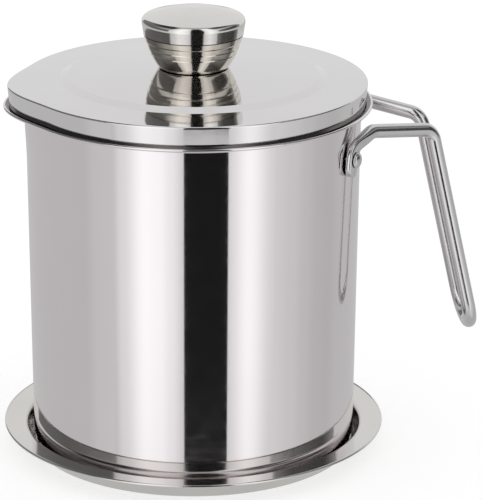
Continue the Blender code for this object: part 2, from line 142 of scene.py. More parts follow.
def make_floor():
    bm = bmesh.new()
    bmesh.ops.create_circle(bm, cap_ends=True, segments=disc_segments, radius=floor_radius)
    floor = link_object("floor", bm)
    material = bpy.data.materials.new("pale floor")
    tree = node_tree(material)
    output = tree.nodes.new("ShaderNodeOutputMaterial")
    shader = tree.nodes.new("ShaderNodeBsdfPrincipled")
    shader.inputs["Base Color"].default_value = floor_colour
    shader.inputs["Roughness"].default_value = floor_roughness
    shader.inputs["Specular IOR Level"].default_value = 0
    shader.inputs["Emission Color"].default_value = (1, 1, 1, 1)
    shader.inputs["Emission Strength"].default_value = floor_glow
    tree.links.new(shader.outputs["BSDF"], output.inputs["Surface"])
    floor.data.materials.append(material)
    floor.visible_glossy = False


make_floor()
print("floor radius:", floor_radius, "m")

# %% Make the cards that the steel mirrors
tent_distance = 3.0
tent_centre_height = 90 * mm
card_step = math.radians(1.5)
card_rows = 24


def glow_material():
    """Light as strong as each corner's glow says."""
    material = bpy.data.materials.new("card light")
    tree = node_tree(material)
    output = tree.nodes.new("ShaderNodeOutputMaterial")
    glow = tree.nodes.new("ShaderNodeAttribute")
    glow.attribute_name = "glow"
    light = tree.nodes.new("ShaderNodeEmission")
    tree.links.new(glow.outputs["Color"], light.inputs["Color"])
    tree.links.new(light.outputs["Emission"], output.inputs["Surface"])
    material.cycles.emission_sampling = "NONE"
    return material


card_light = glow_material()


def between(stops, place):
    """The level at a place among (place, level) stops, eased from stop to stop."""
    for (before, low), (after, high) in zip(stops, stops[1:]):
        if place <= after:
            part = max(0, (place - before) / (after - before))
            return low + (high - low) * part * part * (3 - 2 * part)
    return stops[-1][1]


def hide_from_all_but_mirrors(item):
    """Keeps a part of the studio out of everything but reflections."""
    item.visible_camera = False
    item.visible_diffuse = False
    item.visible_transmission = False
    item.visible_volume_scatter = False
    item.visible_shadow = False


def make_card(name, stops, low, high, distance=tent_distance, fade=((0, 1), (1, 1))):
    """A curved card whose light follows (bearing, level) stops, between two elevations in degrees.

    Bearing 0 is towards the camera and grows to its right. The fade's (share, level) stops multiply
    the light from the bottom edge to the top.
    """
    left = stops[0][0]
    right = stops[-1][0]
    columns = max(2, round(math.radians(right - left) / card_step))
    bottom = distance * math.tan(math.radians(low))
    top = distance * math.tan(math.radians(high))
    bm = bmesh.new()
    grid = []
    glows = []
    for column in range(columns + 1):
        bearing = left + (right - left) * column / columns
        turn = math.radians(bearing)
        outwards = to_camera * math.cos(turn) + to_right * math.sin(turn)
        line = []
        for row in range(card_rows + 1):
            height = tent_centre_height + bottom + (top - bottom) * row / card_rows
            line.append(bm.verts.new(outwards * distance + Vector((0, 0, height))))
            glows.append(between(stops, bearing) * between(fade, row / card_rows))
        grid.append(line)
    for line, following in zip(grid, grid[1:]):
        for row in range(card_rows):
            bm.faces.new((line[row], following[row], following[row + 1], line[row + 1]))
    card = link_object(name, bm)
    colours = card.data.color_attributes.new("glow", "FLOAT_COLOR", "POINT")
    for entry, glow in zip(colours.data, glows):
        entry.color = (glow, glow, glow, 1)
    card.data.materials.append(card_light)
    hide_from_all_but_mirrors(card)


table_low = -62
table_edge = -2
curtain_fold = 26
curtain_top = 70
box_distance = 2.9
box_low = -50
black_distance = 2.8
black_low = -25
black_level = 0.012
box_fade = [(0, 0.8), (0.156, 0.84), (0.204, 1), (1, 1)]
fold_fade = [(0, 0.9), (0.09, 1), (0.2, 0.5), (0.33, 0.15), (1, 0.12)]


def make_studio():
    """Stands the cards in their ring, each by its bearings, its levels and its two elevations."""
    table = [(-180, 0.56), (-155, 0.57), (-81, 0.57), (-69, 0.64), (-56, 0.66), (0, 0.66),
             (56, 0.76), (72, 0.68), (83, 0.61), (95, 0.55), (107, 0.53), (122, 0.57), (180, 0.56)]
    make_card("grey_table", table, table_low, table_edge)
    left_curtain = [(-150, 0.2), (-90, 0.14), (-50, 0.12)]
    make_card("left_curtain", left_curtain, table_edge, curtain_fold)
    right_curtain = [(50, 0.3), (75, 0.08), (105, 0.06), (122, 0.3)]
    make_card("right_curtain", right_curtain, table_edge, curtain_fold)
    left_fold = [(-150, 0.19), (-107, 0.19), (-90, 0.3), (-75, 0.46), (-50, 0.6)]
    make_card("left_curtain_top", left_fold, curtain_fold, curtain_top, fade=fold_fade)
    right_fold = [(50, 0.9), (67, 0.75), (81, 0.5), (97, 0.37), (115, 0.2), (122, 0.3)]
    make_card("right_curtain_top", right_fold, curtain_fold, curtain_top, fade=fold_fade)
    make_card("back_cloth", [(122, 0.8), (210, 0.8)], table_edge, curtain_top)
    left_box = [(-57, 0.66), (-50, 0.85), (-33, 1.22), (-23, 1.17), (-15, 1.02), (-6.5, 0.79)]
    make_card("left_soft_box", left_box, box_low, curtain_top, box_distance, box_fade)
    black_card = [(-6.5, black_level), (23.5, black_level)]
    make_card("black_card", black_card, black_low, curtain_top, black_distance)
    right_box = [(23.5, 0.84), (38, 1.17), (57, 0.8)]
    make_card("right_soft_box", right_box, box_low, curtain_top, box_distance, box_fade)


make_studio()

# %% Make the ceiling cloth and the pale sheet under the tray
ceiling_height = tent_centre_height + tent_distance * math.tan(math.radians(curtain_top))
ceiling_level = 0.5
sheet_radius = 88 * mm
sheet_height = -0.2 * mm
sheet_level = 0.6
world_strength = 0.55


def make_glowing_disc(name, radius, height, level):
    """A level disc of light that only mirrors see."""
    bm = bmesh.new()
    bmesh.ops.create_circle(bm, cap_ends=True, segments=disc_segments, radius=radius)
    bmesh.ops.translate(bm, verts=bm.verts, vec=(0, 0, height))
    disc = link_object(name, bm)
    colours = disc.data.color_attributes.new("glow", "FLOAT_COLOR", "POINT")
    for entry in colours.data:
        entry.color = (level, level, level, 1)
    disc.data.materials.append(card_light)
    hide_from_all_but_mirrors(disc)


make_glowing_disc("ceiling_cloth", tent_distance, ceiling_height, ceiling_level)
make_glowing_disc("pale_sheet", sheet_radius, sheet_height, sheet_level)


def make_world():
    world = bpy.data.worlds.new("white room")
    world.use_nodes = True
    background = world.node_tree.nodes["Background"]
    background.inputs["Color"].default_value = (1, 1, 1, 1)
    background.inputs["Strength"].default_value = world_strength
    bpy.context.scene.world = world
    bpy.context.scene.view_settings.view_transform = "Standard"


make_world()
print("ceiling at", round(ceiling_height, 2), "m")

# %% [markdown]
# ## Finishes
#
# Each steel finish starts from the same three marks that a workshop leaves. Turning and polishing
# wheels leave fine rings round the axis, rolling leaves faint cloudy patches, and handling leaves
# small wear. The rings come from noise that changes fast with the distance from the axis and slowly
# along the turn, so they follow each pressed shape without being drawn on it.

# %% Make the helpers for nodes
def add_node(tree, kind, **settings):
    """A new node with its settings."""
    node = tree.nodes.new(kind)
    for key, value in settings.items():
        setattr(node, key, value)
    return node


def scaled(tree, socket, factor):
    """The socket's value times a factor."""
    node = add_node(tree, "ShaderNodeMath", operation="MULTIPLY")
    tree.links.new(socket, node.inputs[0])
    node.inputs[1].default_value = factor
    return node.outputs[0]


def spread(tree, socket, low, high):
    """The socket's 0 to 1 mapped to low to high."""
    node = add_node(tree, "ShaderNodeMapRange")
    tree.links.new(socket, node.inputs["Value"])
    node.inputs["To Min"].default_value = low
    node.inputs["To Max"].default_value = high
    return node.outputs["Result"]


def noise(tree, vector, scale, detail):
    """A noise pattern from 0 to 1 over a vector."""
    node = add_node(tree, "ShaderNodeTexNoise")
    tree.links.new(vector, node.inputs["Vector"])
    node.inputs["Scale"].default_value = scale
    node.inputs["Detail"].default_value = detail
    return node.outputs["Fac"]


def turned_place(tree, place, drift):
    """A vector of distance from the axis, height and a little of the turn, for marks in rings."""
    parts = add_node(tree, "ShaderNodeSeparateXYZ")
    tree.links.new(place, parts.inputs[0])
    flat = add_node(tree, "ShaderNodeCombineXYZ")
    tree.links.new(parts.outputs["X"], flat.inputs["X"])
    tree.links.new(parts.outputs["Y"], flat.inputs["Y"])
    radius = add_node(tree, "ShaderNodeVectorMath", operation="LENGTH")
    tree.links.new(flat.outputs[0], radius.inputs[0])
    rings = add_node(tree, "ShaderNodeCombineXYZ")
    tree.links.new(radius.outputs["Value"], rings.inputs["X"])
    tree.links.new(scaled(tree, parts.outputs["X"], drift), rings.inputs["Y"])
    tree.links.new(parts.outputs["Z"], rings.inputs["Z"])
    return rings.outputs[0]


print("marks are made of noise, in rings round the axis, in clouds and in spots of wear")

# %% Make the steel finishes
ring_detail = 4
ring_spread = (0.6, 1.4)
cloud_detail = 3
wear_detail = 6
wear_fineness = 9


def make_steel(name, colour, dull_colour, smooth, rough,
               ring_depth, rings_per_mm, drift, cloud_size):
    """A steel finish, cloudy between its two colours and between smooth and rough.

    Its rings are ring_depth deep, and drift is how fast they change along the turn.
    """
    material = bpy.data.materials.new(name)
    tree = node_tree(material)
    output = add_node(tree, "ShaderNodeOutputMaterial")
    shader = add_node(tree, "ShaderNodeBsdfPrincipled")
    shader.inputs["Metallic"].default_value = 1
    tree.links.new(shader.outputs["BSDF"], output.inputs["Surface"])
    place = add_node(tree, "ShaderNodeTexCoord").outputs["Object"]
    rings = noise(tree, turned_place(tree, place, drift), rings_per_mm / mm, ring_detail)
    clouds = noise(tree, place, 1 / cloud_size, cloud_detail)
    wear = noise(tree, place, wear_fineness / cloud_size, wear_detail)

    tint = add_node(tree, "ShaderNodeMix", data_type="RGBA")
    tree.links.new(clouds, tint.inputs["Factor"])
    tint.inputs["A"].default_value = (*dull_colour, 1)
    tint.inputs["B"].default_value = (*colour, 1)
    tree.links.new(tint.outputs["Result"], shader.inputs["Base Color"])

    mixed = add_node(tree, "ShaderNodeMath", operation="MULTIPLY")
    tree.links.new(spread(tree, rings, *ring_spread), mixed.inputs[0])
    tree.links.new(wear, mixed.inputs[1])
    tree.links.new(spread(tree, mixed.outputs[0], smooth, rough), shader.inputs["Roughness"])

    bump = add_node(tree, "ShaderNodeBump")
    bump.inputs["Strength"].default_value = 1
    bump.inputs["Distance"].default_value = ring_depth
    tree.links.new(rings, bump.inputs["Height"])
    tree.links.new(bump.outputs["Normal"], shader.inputs["Normal"])
    return material


pot_polish = make_steel("mirror polished pot", (0.83, 0.79, 0.80), (0.79, 0.752, 0.765),
                        0.03, 0.09, 0.0004 * mm, 1.2, 0.02, 40 * mm)
lid_polish = make_steel("polished lid", (0.80, 0.785, 0.785), (0.76, 0.745, 0.745),
                        0.03, 0.08, 0.0005 * mm, 1.6, 0.04, 30 * mm)
tray_satin = make_steel("satin tray", (0.76, 0.75, 0.72), (0.70, 0.69, 0.67),
                        0.09, 0.18, 0.0003 * mm, 1.6, 0.05, 24 * mm)
# Satin is the inside's real finish. Its darker colour is painted shade, for the dark gap under the
# lid's edge.
satin_with_painted_shade = make_steel("satin strainer with painted shade", (0.60, 0.59, 0.57), (0.53, 0.52, 0.51),
                         0.08, 0.18, 0.001 * mm, 1.6, 0.05, 20 * mm)
# The rim top's near-black colour is painted shade: the dark line in the gap under the lid's edge.
rim_top_painted_shade = make_steel("rim top painted dark as shade", (0.20, 0.195, 0.19), (0.16, 0.155, 0.15),
                         0.16, 0.3, 0.001 * mm, 1.6, 0.05, 26 * mm)
knob_turned = make_steel("turned knob", (0.81, 0.795, 0.77), (0.75, 0.735, 0.71),
                         0.06, 0.14, 0.0012 * mm, 2.2, 0.06, 12 * mm)
# The bowl is the knob's own steel in a darker, browner colour: painted shade.
knob_bowl_painted_shade = make_steel("turned knob bowl with painted shade", (0.77, 0.73, 0.66), (0.68, 0.64, 0.58),
                         0.06, 0.14, 0.0012 * mm, 2.2, 0.06, 12 * mm)
wire_polish = make_steel("drawn wire", (0.74, 0.73, 0.74), (0.64, 0.63, 0.64),
                         0.08, 0.24, 0.002 * mm, 0.6, 0.5, 9 * mm)
fastener_steel = make_steel("plain fastener steel", (0.70, 0.69, 0.68), (0.60, 0.59, 0.58),
                            0.14, 0.34, 0.002 * mm, 2.0, 0.1, 5 * mm)
cloth_steel = make_steel("woven wire steel", (0.66, 0.65, 0.64), (0.56, 0.55, 0.54),
                         0.18, 0.36, 0.001 * mm, 2.0, 0.4, 6 * mm)
print("finishes:", [material.name for material in bpy.data.materials])

# %% [markdown]
# ## Pressed and turned sheet
#
# Most pieces are sheet steel pressed or spun round one axis: in the shop a flat disc is pushed over
# a former on a lathe. The same steps work here. A path along one side of the sheet gets its bends as
# arcs, a second line beside it gives the sheet its thickness, and the closed outline is turned round
# the axis. A mirror finish shows every uneven face, so long straight stretches get a point close to
# each end, which keeps the bend's shading out of the flat.

# %% Make the helpers that bend a path
weld = 0.001 * mm
fine_steps = 10


def at(radius, height):
    """A point of a turned outline, at +X."""
    return Vector((radius, 0, height))


def without_repeats(path):
    """The path without the points that lie on the one before."""
    kept = path[:1]
    for point in path[1:]:
        if (point - kept[-1]).length > weld:
            kept.append(point)
    return kept


def rounded(corners, steps=fine_steps):
    """A path through corners, each a (point, bend radius) pair, with its bends as arcs."""
    path = [corners[0][0]]
    for (before, _), (corner, radius), (after, _) in zip(corners, corners[1:], corners[2:]):
        back = before - corner
        onward = after - corner
        half_angle = back.angle(onward) / 2
        back_room = back.length if before == corners[0][0] else back.length / 2
        onward_room = onward.length if after == corners[-1][0] else onward.length / 2
        setback = min(radius / math.tan(half_angle), back_room, onward_room)
        if setback < weld:
            path.append(corner)
            continue
        bend = setback * math.tan(half_angle)
        inwards = (back.normalized() + onward.normalized()).normalized()
        centre = corner + inwards * bend / math.sin(half_angle)
        start = (corner + back.normalized() * setback - centre).normalized()
        end = (corner + onward.normalized() * setback - centre).normalized()
        for step in range(steps + 1):
            path.append(centre + start.slerp(end, step / steps) * bend)
    path.append(corners[-1][0])
    return without_repeats(path)


print("a bend has", fine_steps, "steps")

# %% Make the helpers that give a sheet its thickness
hold = 0.12 * mm
long_stretch = 6 * hold
bead_steps = 12


def held(path):
    """The path with a point close to each end of its long straight stretches."""
    kept = [path[0]]
    for before, after in zip(path, path[1:]):
        along = after - before
        if along.length > long_stretch:
            kept.append(before + along.normalized() * hold)
            kept.append(after - along.normalized() * hold)
        kept.append(after)
    return kept


def left_of(direction):
    """The unit vector to the left of a direction in the outline's plane."""
    return Vector((-direction.z, 0, direction.x)).normalized()


def beside(path, distance):
    """The path moved to its left by a distance, with mitred corners."""
    moved = []
    for index, point in enumerate(path):
        ahead = path[min(index + 1, len(path) - 1)] - point
        behind = point - path[max(index - 1, 0)]
        first = left_of(behind if behind.length > 0 else ahead)
        second = left_of(ahead if ahead.length > 0 else behind)
        if point.x < weld:
            moved.append(point + Vector((0, 0, distance / first.z)))
        else:
            moved.append(point + (first + second) * distance / (1 + first.dot(second)))
    return moved


def sheet_outline(path, sheet, bead=0):
    """The section of a sheet that lies on the left of a path and may end in a beaded edge."""
    path = held(path)
    face = beside(path, sheet)
    if bead == 0:
        return path + face[::-1]
    centre = (path[-1] + face[-1]) / 2
    across = (face[-1] - path[-1]).normalized()
    onward = (path[-1] - path[-2]).normalized()
    edge = []
    for step in range(bead_steps + 1):
        turn = math.pi * step / bead_steps
        edge.append(centre + (onward * math.sin(turn) - across * math.cos(turn)) * bead)
    return path + edge + face[::-1]


print("a straight stretch over", round(long_stretch / mm, 2), "mm gets a point near each end")

# %% Make the helpers that turn an outline and put the piece in place
fine_segments = 256
crease_angle = math.radians(30)


def turned(outline, segments=fine_segments):
    """The closed mesh that an outline at +X sweeps round the Z axis."""
    bm = bmesh.new()
    verts = [bm.verts.new(point) for point in outline]
    edges = []
    for vert, following in zip(verts, verts[1:] + verts[:1]):
        if max(vert.co.x, following.co.x) > weld:
            edges.append(bm.edges.new((vert, following)))
    bmesh.ops.spin(bm, geom=verts + edges, cent=(0, 0, 0), axis=(0, 0, 1),
                   angle=math.tau, steps=segments)
    bmesh.ops.remove_doubles(bm, verts=bm.verts, dist=weld)
    bmesh.ops.recalc_face_normals(bm, faces=bm.faces)
    return bm


def fit(name, bm, body, finish, nodes, raise_by=0):
    """Puts a finished piece in place: it rides on a body and stands for the solid model's nodes."""
    bmesh.ops.translate(bm, verts=bm.verts, vec=(0, 0, raise_by))
    item = link_object(name, bm)
    item.data.shade_smooth()
    item.data.set_sharp_from_angle(angle=crease_angle)
    item.data.materials.append(finish)
    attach(item, body)
    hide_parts(*nodes)
    print(name, "has", len(item.data.polygons), "faces")
    return item


print("a full turn has", fine_segments, "segments")

# %% [markdown]
# ## Tray
#
# The saucer tray is one pressing: a flat floor, a sloping wall, a soft shoulder and a wide flange
# whose edge is rolled into a small bead. It stays on the table while the pot lifts out.

# %% Make the tray
tray_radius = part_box("tray_dish")[1].x
tray_sheet = 0.7 * mm
tray_bead = 0.6 * mm
tray_flange = 7.8 * mm
tray_flange_rise = 0.3 * mm
tray_wall_slope = 3.2 * mm
tray_depth = 8.6 * mm
tray_corner = 3 * mm
tray_shoulder = 1.4 * mm


def make_tray():
    recess = tray_radius - tray_bead - tray_flange
    path = rounded([
        (at(0, 0), 0),
        (at(recess - tray_wall_slope, 0), tray_corner),
        (at(recess, tray_depth), tray_shoulder),
        (at(recess + tray_flange, tray_depth + tray_flange_rise), 0),
    ])
    outline = sheet_outline(path, tray_sheet, tray_bead)
    return fit("saucer_tray", turned(outline), "tray", tray_satin, ["tray_dish"])


make_tray()

# %% [markdown]
# ## Pot
#
# The pot is drawn from one sheet, with a flat bottom, a rounded corner and a wall that widens very
# slightly towards the rim so that the press can let go of it. The rim flares and ends in a bead. The
# spout is pushed out of the rim between two jaws after that: a bump that is strongest on the middle
# line and fades to nothing at both sides. Only the outside is mirror polished. The inside is satin,
# painted darker as shade, and the flange's top is painted near black as the shade that draws the
# line under the lid.

# %% Shape the spout
pot_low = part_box("pot_body")[0].z
pot_radius = 66 * mm
pot_draft = 1.6 * mm
pot_height = 141.2 * mm
pot_sheet = 0.6 * mm
pot_corner = 6 * mm
rim_overhang = 4 * mm
rim_flare_height = 1.3 * mm
rim_bend = 1 * mm
rim_bead = 0.6 * mm
spout_reach = 5 * mm
spout_half_angle = math.radians(28.5)
spout_root_width = 2.2 * mm
spout_wall_depth = 22 * mm
spout_wall_share = 0.13
spout_rim_share = 0.86


def wall_radius(height):
    """The pot's outer radius at a height above its underside, below the rim."""
    return pot_radius - pot_draft * (1 - height / pot_height)


rim_root = pot_height - rim_bead - rim_flare_height


def smooth_share(value):
    """A share that runs from 0 to 1 with level ends."""
    value = min(max(value, 0), 1)
    return value * value * (3 - 2 * value)


def rim_spout_share(radius, height):
    """The wall swells a little below the rim, and the flange over it is pulled out the rest."""
    wall = smooth_share((height - rim_root + spout_wall_depth) / spout_wall_depth)
    flange = smooth_share((radius - wall_radius(rim_root)) / spout_root_width)
    return wall * spout_wall_share + flange * (spout_rim_share - spout_wall_share)


def press_spout(bm, share_at):
    """Pushes a turned mesh outwards at -X, by the share of the reach that each point takes."""
    for vert in bm.verts:
        radius = math.hypot(vert.co.x, vert.co.y)
        angle = abs(math.atan2(vert.co.y, -vert.co.x))
        if radius < weld or angle >= spout_half_angle:
            continue
        swell = math.cos(angle / spout_half_angle * math.pi / 2) ** 2
        stretch = 1 + spout_reach * swell * share_at(radius, vert.co.z) / radius
        vert.co.x *= stretch
        vert.co.y *= stretch


print("the rim's beak reaches", round(spout_reach * spout_rim_share / mm, 1), "mm past its round")

# %% Make the pot
spout_wall_rings = 16
spout_root_first = 3
spout_root_last = 8
shaded_rim_index = 1
shaded_satin_index = 2
inside_lean = 0.7
flange_lean = 0.02


def mark_satin_and_painted_shade(shell, root_radius):
    """Marks the inside as satin with painted shade, and the flange's top as painted shade, by how
    faces lean.
    """
    flange_end = root_radius + rim_overhang - rim_bead
    shell.normal_update()
    for face in shell.faces:
        centre = face.calc_center_median()
        radius = math.hypot(centre.x, centre.y)
        leans_in = -(face.normal.x * centre.x + face.normal.y * centre.y) / radius
        on_floor = face.normal.z > inside_lean and radius < root_radius
        if leans_in > inside_lean or on_floor:
            face.material_index = shaded_satin_index
        elif leans_in > flange_lean and radius < flange_end:
            face.material_index = shaded_rim_index


def make_pot():
    root_radius = wall_radius(rim_root)
    drops = [spout_wall_depth * (1 - ring / spout_wall_rings) for ring in range(spout_wall_rings)]
    walls = [(at(wall_radius(rim_root - drop), rim_root - drop), 0) for drop in drops]
    slope = rim_flare_height / rim_overhang
    root_rings = range(spout_root_first, spout_root_last + 1)
    reaches = [spout_root_width * ring / spout_root_last for ring in root_rings]
    flange = [(at(root_radius + reach, rim_root + reach * slope), 0) for reach in reaches]
    path = rounded([
        (at(0, 0), 0),
        (at(wall_radius(0), 0), pot_corner),
        *walls,
        (at(root_radius, rim_root), rim_bend),
        *flange,
        (at(root_radius + rim_overhang, rim_root + rim_flare_height), 0),
    ])
    shell = turned(sheet_outline(path, pot_sheet, rim_bead))
    mark_satin_and_painted_shade(shell, root_radius)
    press_spout(shell, rim_spout_share)
    pot = fit("pot_shell", shell, "pot", pot_polish, ["pot_body"], pot_low)
    pot.data.materials.append(rim_top_painted_shade)
    pot.data.materials.append(satin_with_painted_shade)
    return pot


make_pot()

# %% [markdown]
# ## Handle
#
# The handle is one round wire. A press flattens its two ends into tabs that are riveted to the wall,
# and from there it runs out level, turns down and splays away to a loop. Sweeping a ring along the
# wire's middle line makes it, and the ring starts flat and wide at the tab and grows round and
# narrow through the first bends. One half is swept and then mirrored, as the wire is the same on
# both sides.

# %% Lay the wire's middle line
gap = 0.3 * mm
tab_thickness = 3 * mm
tab_foot_angle = math.radians(33.5)
tab_foot_drop = 22.9 * mm
tab_top_angle = math.radians(32)
tab_top_drop = 11.7 * mm
tab_bend = 6.5 * mm
handle_shoulder_angle = math.radians(21.5)
handle_shoulder_standoff = 5.5 * mm
handle_shoulder_drop = 8 * mm
handle_shoulder_bend = 7 * mm
handle_reach = 27.6 * mm
handle_run_drop = 4.8 * mm
handle_half_gap = 10.9 * mm
handle_corner_bend = 6.2 * mm
handle_leg_drop = 84.1 * mm
handle_leg_splay = 18.8 * mm
wire_bend_steps = 16
rivet_drop_share = 0.6


def around(radius, angle, height):
    """The point at an angle round the axis."""
    return Vector((radius * math.cos(angle), radius * math.sin(angle), height))


def tab_point(angle, drop):
    """A point of the flattened tab's middle line, against the pot's wall."""
    height = pot_height - drop
    return around(wall_radius(height) + gap + tab_thickness / 2, angle, height)


rivet_angle = tab_foot_angle + (tab_top_angle - tab_foot_angle) * rivet_drop_share
rivet_height = pot_height - tab_foot_drop - (tab_top_drop - tab_foot_drop) * rivet_drop_share


def handle_path():
    """The middle line of half the handle: up the tab, out, and down the leg to the loop."""
    shoulder_height = pot_height - handle_shoulder_drop
    corner = Vector((pot_radius + handle_reach, handle_half_gap, shoulder_height - handle_run_drop))
    low = corner + Vector((handle_leg_splay, 0, -handle_leg_drop))
    shoulder = around(pot_radius + handle_shoulder_standoff, handle_shoulder_angle, shoulder_height)
    return rounded([
        (tab_point(tab_foot_angle, tab_foot_drop), 0),
        (tab_point(tab_top_angle, tab_top_drop), tab_bend),
        (shoulder, handle_shoulder_bend),
        (corner, handle_corner_bend),
        (low, handle_half_gap),
        (Vector((low.x, 0, low.z)), 0),
    ], wire_bend_steps)


def path_lengths(path):
    """How far along the path each of its points is."""
    lengths = [0]
    for before, after in zip(path, path[1:]):
        lengths.append(lengths[-1] + (after - before).length)
    return lengths


print("half of the wire is", round(path_lengths(handle_path())[-1] / mm), "mm long")

# %% Make the wire handle
wire_radius = 2.8 * mm
wire_sides = 32
wire_spacing = 1.5 * mm
tab_width = 8.6 * mm
tab_squareness = 3.4
round_squareness = 2
tab_foot_steps = 12


def filled(path, spacing):
    """The path with points added so that no step is longer than the spacing."""
    points = [path[0]]
    for before, after in zip(path, path[1:]):
        count = max(1, math.ceil((after - before).length / spacing))
        for step in range(1, count + 1):
            points.append(before.lerp(after, step / count))
    return points


def wire_ring(centre, onward, flat_normal, half_width, half_thickness, squareness):
    """The points of a wire's section: round, or pressed flat across its normal."""
    wide = onward.cross(flat_normal).normalized()
    thin = wide.cross(onward).normalized()
    ring = []
    for side in range(wire_sides):
        turn = math.tau * (side + 0.5) / wire_sides
        across = math.copysign(abs(math.cos(turn)) ** (2 / squareness), math.cos(turn))
        through = math.copysign(abs(math.sin(turn)) ** (2 / squareness), math.sin(turn))
        ring.append(centre + wide * across * half_width + thin * through * half_thickness)
    return ring


def handle_rings():
    """The wire's rings from the tab's foot to the middle of the loop."""
    corners = handle_path()
    marks = path_lengths(corners)
    bend_start = marks[1]
    bend_end = marks[1 + wire_bend_steps]
    flat_end = marks[1 + wire_bend_steps // 4]
    round_start = marks[2 * wire_bend_steps + 2]
    path = filled(corners, wire_spacing)
    lengths = path_lengths(path)
    normal = Vector((math.cos(rivet_angle), math.sin(rivet_angle), 0))
    rings = []
    up = (path[1] - path[0]).normalized()
    for step in range(tab_foot_steps):
        share = 1 - math.cos(math.pi / 2 * (step + 0.5) / tab_foot_steps)
        width = tab_width / 2 * math.sqrt(1 - (1 - share) ** 2)
        centre = path[0] + up * share * tab_width / 2
        rings.append(wire_ring(centre, up, normal, width, tab_thickness / 2, tab_squareness))
    for index in range(1, len(path)):
        if lengths[index] <= tab_width / 2:
            continue
        before = path[index] - path[index - 1]
        after = path[min(index + 1, len(path) - 1)] - path[index]
        onward = (before.normalized() + after.normalized()).normalized()
        if index == len(path) - 1:
            onward = Vector((0, -1, 0))
        narrowing = smooth_share((lengths[index] - bend_start) / (bend_end - bend_start))
        roundness = smooth_share((lengths[index] - flat_end) / (round_start - flat_end))
        width = tab_width / 2 + (wire_radius - tab_width / 2) * narrowing
        thickness = tab_thickness / 2 + (wire_radius - tab_thickness / 2) * roundness
        squareness = tab_squareness + (round_squareness - tab_squareness) * roundness
        normal = normal - onward * normal.dot(onward)
        normal.normalize()
        rings.append(wire_ring(path[index], onward, normal, width, thickness, squareness))
    return rings


def skin(rings):
    """A closed tube mesh through rings of equal length."""
    bm = bmesh.new()
    rows = [[bm.verts.new(point) for point in ring] for ring in rings]
    for row, following in zip(rows, rows[1:]):
        for side in range(len(row)):
            after = (side + 1) % len(row)
            bm.faces.new((row[side], row[after], following[after], following[side]))
    bm.faces.new(rows[0])
    bm.faces.new(rows[-1])
    bmesh.ops.recalc_face_normals(bm, faces=bm.faces)
    return bm


def make_handle():
    half = handle_rings()
    other = [[Vector((point.x, -point.y, point.z)) for point in ring] for ring in half[-2::-1]]
    wire = skin(half + other)
    return fit("wire_handle", wire, "pot", wire_polish, ["handle_wire"], pot_low)


make_handle()

# %% [markdown]
# ## Rivets
#
# Each tab has one solid rivet through the wall, with a domed head outside. Inside, a washer spreads
# the pull and the tail is hammered over it. They are turned shapes that lie across the wall, so they
# are turned upright and then swung to point outwards.

# %% Make the rivets and their washers
rivet_radius = 1.6 * mm
rivet_head_radius = 3.2 * mm
rivet_head_height = 1.8 * mm
rivet_tail_radius = 2.6 * mm
rivet_tail_height = 1.1 * mm
rivet_washer_radius = 5 * mm
rivet_washer_thickness = 0.8 * mm
small_segments = 64


def dome(base, radius, height, steps=10):
    """A quarter of an oval, from the axis at the top to the edge at the base."""
    points = []
    for step in range(steps + 1):
        turn = math.pi / 2 * step / steps
        points.append(at(radius * math.sin(turn), base + height * math.cos(turn)))
    return points


def wall_sagitta(radius):
    """How far the round wall falls away under the edge of a flat disc."""
    return pot_radius - math.sqrt(pot_radius ** 2 - radius ** 2)


def seated_on_wall(bm, angle):
    """Swings a mesh whose axis is +Z to point outwards from the wall, and puts it there."""
    swing = Matrix.Rotation(angle, 4, "Z") @ Matrix.Rotation(math.pi / 2, 4, "Y")
    place = Matrix.Translation(around(wall_radius(rivet_height), angle, rivet_height))
    bmesh.ops.transform(bm, matrix=place @ swing, verts=bm.verts)
    return bm


def make_rivet(side_name, side):
    head_base = gap + tab_thickness + gap
    washer_face = -(pot_sheet + gap + wall_sagitta(rivet_washer_radius))
    washer_back = washer_face - rivet_washer_thickness
    tail_top = washer_back - gap
    tail = dome(0, rivet_tail_radius, rivet_tail_height)
    outline = dome(head_base, rivet_head_radius, rivet_head_height)
    outline += [at(rivet_radius, head_base), at(rivet_radius, tail_top)]
    outline += [at(point.x, tail_top - point.z) for point in tail[::-1]]
    rivet = seated_on_wall(turned(outline, small_segments), side * rivet_angle)
    fit("rivet_" + side_name, rivet, "pot", fastener_steel,
        ["handle_rivet_" + side_name], pot_low)
    hole = rivet_radius + gap
    outline = [
        at(hole, washer_face),
        at(rivet_washer_radius, washer_face),
        at(rivet_washer_radius, washer_back),
        at(hole, washer_back),
    ]
    washer = seated_on_wall(turned(outline, small_segments), side * rivet_angle)
    fit("inner_washer_" + side_name, washer, "pot", fastener_steel,
        ["rivet_washer_" + side_name], pot_low)


for side_name, side in (("near", -1), ("far", 1)):
    make_rivet(side_name, side)

# %% [markdown]
# ## Strainer
#
# The strainer hangs by its flange on the flared rim, under the lid. It is a shallow cup with a
# round opening in its floor. Fine wire cloth covers the opening, and a flat ring holds the cloth
# down. The solids keep 0.3 mm between pieces that touch. Here the flange reaches down over most of
# it, and its turned-up edge stands just inside the lid's skirt, as the photo shows no edge below the
# skirt.

# %% Make the strainer cup and its ring
rest_reach = 0.35 * mm
strainer_edge_play = 0.4 * mm
strainer_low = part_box("strainer_cup")[0].z
strainer_sheet = 0.5 * mm
strainer_flange_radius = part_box("strainer_cup")[1].x - strainer_edge_play
strainer_depth = 45.6 * mm
strainer_lip_rise = 1.3 * mm
strainer_lip_bend = 0.15 * mm
strainer_taper = 4.5 * mm
strainer_foot_radius = 57.3 * mm
strainer_ledge = 11.5 * mm
strainer_corner = 3 * mm
strainer_neck = 1.5 * mm
ring_edge_bend = 0.25 * mm
ring_edge_steps = 4


